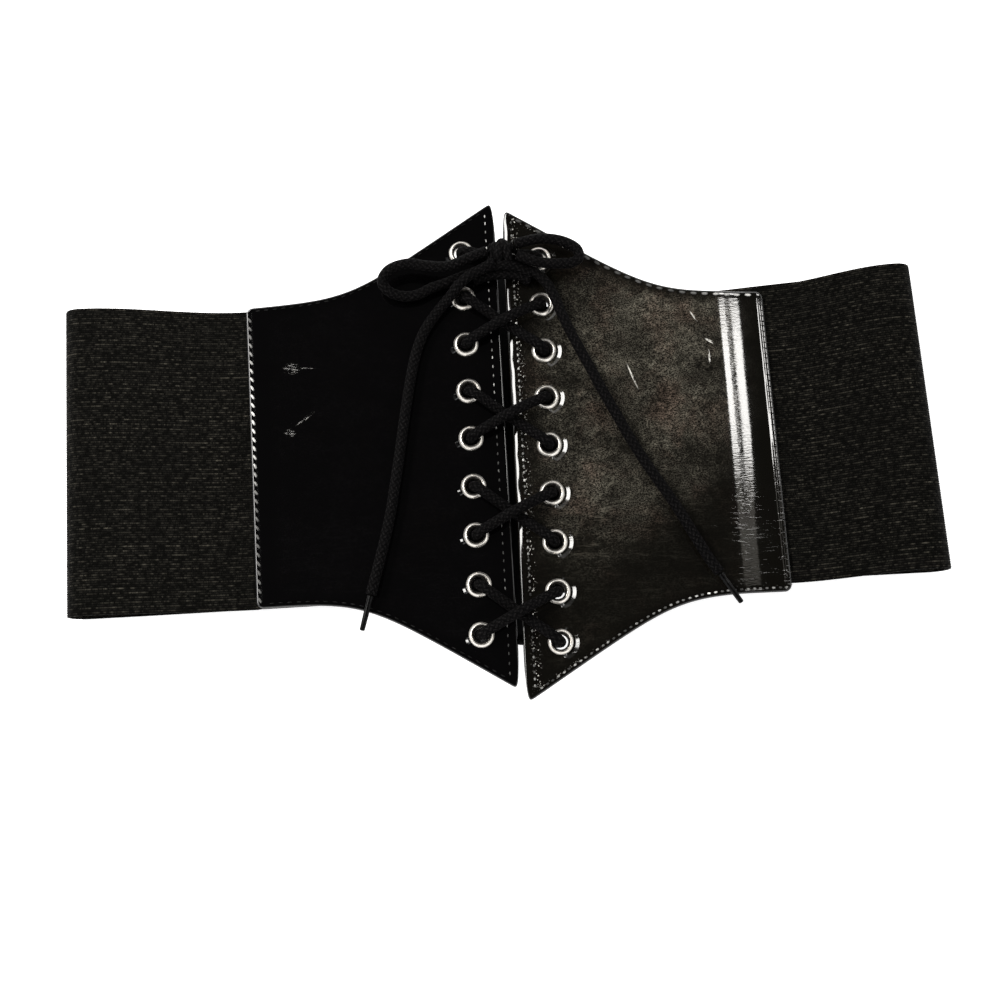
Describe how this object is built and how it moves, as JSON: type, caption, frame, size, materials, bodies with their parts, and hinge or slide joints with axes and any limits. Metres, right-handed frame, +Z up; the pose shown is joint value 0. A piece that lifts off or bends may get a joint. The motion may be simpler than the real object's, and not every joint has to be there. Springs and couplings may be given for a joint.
{
  "type": "corset belt",
  "caption": "Wide corset belt: peaked patent leather front panels laced through metal eyelets and tied in a bow, with broad ribbed elastic sides joined by a strip at the back.",
  "frame": {"origin": "on the surface that the belt lies on, under the middle of its outline, free lace ends not counted", "axes": "+X along the belt towards the wearer's left-hand fold as it lies, +Y towards the belt's upper edge, +Z up, out of the laced front"},
  "size_m": [0.3566, 0.203, 0.0327],
  "materials": {
    "patent_leather": "black patent leather, glossy and lightly creased",
    "ribbed_elastic": "black woven elastic with fine ribs along the belt",
    "eyelet_metal": "polished nickel plating",
    "lace_cord": "black round braid",
    "aglet_lacquer": "black lace tip"
  },
  "bodies": {
    "root": {"panel_left": "patent_leather", "panel_right": "patent_leather", "elastic_left": "ribbed_elastic", "elastic_right": "ribbed_elastic", "back_closure": "patent_leather", "eyelet_left_1": "eyelet_metal", "eyelet_left_2": "eyelet_metal", "eyelet_left_3": "eyelet_metal", "eyelet_left_4": "eyelet_metal", "eyelet_left_5": "eyelet_metal", "eyelet_left_6": "eyelet_metal", "eyelet_left_7": "eyelet_metal", "eyelet_left_8": "eyelet_metal", "eyelet_left_9": "eyelet_metal", "eyelet_right_1": "eyelet_metal", "eyelet_right_2": "eyelet_metal", "eyelet_right_3": "eyelet_metal", "eyelet_right_4": "eyelet_metal", "eyelet_right_5": "eyelet_metal", "eyelet_right_6": "eyelet_metal", "eyelet_right_7": "eyelet_metal", "eyelet_right_8": "eyelet_metal", "eyelet_right_9": "eyelet_metal", "lace_crossed": "lace_cord", "lace_knot": "lace_cord", "lace_loop_left": "lace_cord", "lace_loop_right": "lace_cord", "lace_tail_left": "lace_cord", "lace_tail_right": "lace_cord", "aglet_left": "aglet_lacquer", "aglet_right": "aglet_lacquer"}
  },
  "joints": []
}
